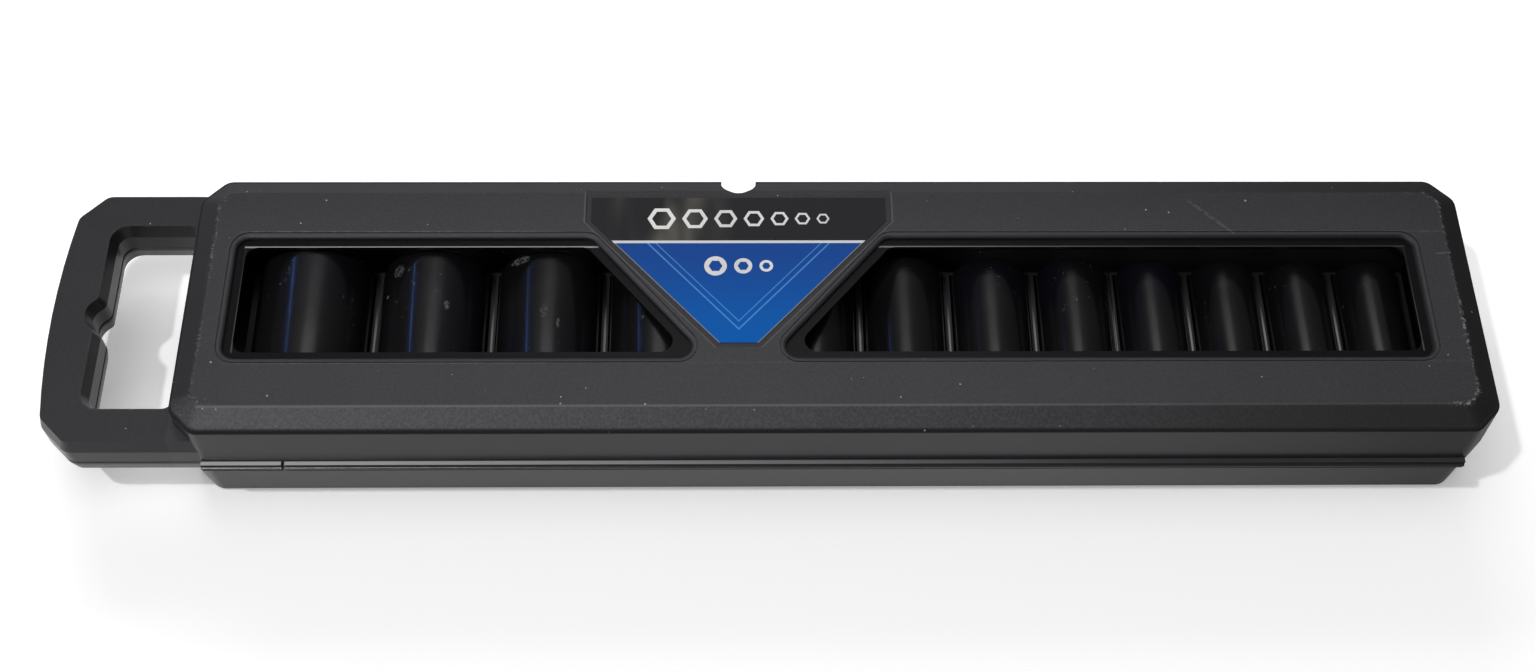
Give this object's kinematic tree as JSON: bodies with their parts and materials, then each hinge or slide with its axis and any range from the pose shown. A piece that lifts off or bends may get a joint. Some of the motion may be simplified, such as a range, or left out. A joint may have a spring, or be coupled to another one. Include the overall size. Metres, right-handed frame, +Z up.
{
  "type": "socket wrench set in case",
  "caption": "Flat hinged plastic carrying case with an end handle and a windowed lid, holding a row of deep impact sockets graded by size in three cradle racks.",
  "frame": {"origin": "middle of the footprint of the whole closed set, on the surface it lies on", "axes": "+X along the case away from the handle, +Y from the hinge to the opening side, +Z up"},
  "size_m": [0.556, 0.1174, 0.054],
  "materials": {
    "case_plastic": "matte",
    "liner_plastic": "satin",
    "rack_plastic": "matte",
    "hinge_plastic": "gloss",
    "label_film": "satin",
    "socket_steel": "satin"
  },
  "bodies": {
    "case": {"case_base": "case_plastic", "rack_left": "rack_plastic", "rack_middle": "rack_plastic", "rack_right": "rack_plastic", "hinge_web_short": "hinge_plastic", "hinge_web_long": "hinge_plastic", "grip_peg": "case_plastic", "end_peg": "case_plastic", "socket_32mm": "socket_steel", "socket_30mm": "socket_steel", "socket_29mm": "socket_steel", "socket_27mm": "socket_steel", "socket_22mm": "socket_steel", "socket_21mm": "socket_steel", "socket_19mm": "socket_steel", "socket_18mm": "socket_steel", "socket_17mm": "socket_steel", "socket_16mm": "socket_steel", "socket_15mm": "socket_steel", "socket_14mm": "socket_steel"},
    "lid": {"case_lid": "case_plastic", "lid_liner": "liner_plastic", "label": "label_film"}
  },
  "joints": [
    {"name": "lid_hinge", "type": "hinge", "parent": "case", "child": "lid", "pos_m": [0.027, -0.05805, 0.026], "axis": [1, 0, 0], "range_deg": [0, 170]}
  ]
}
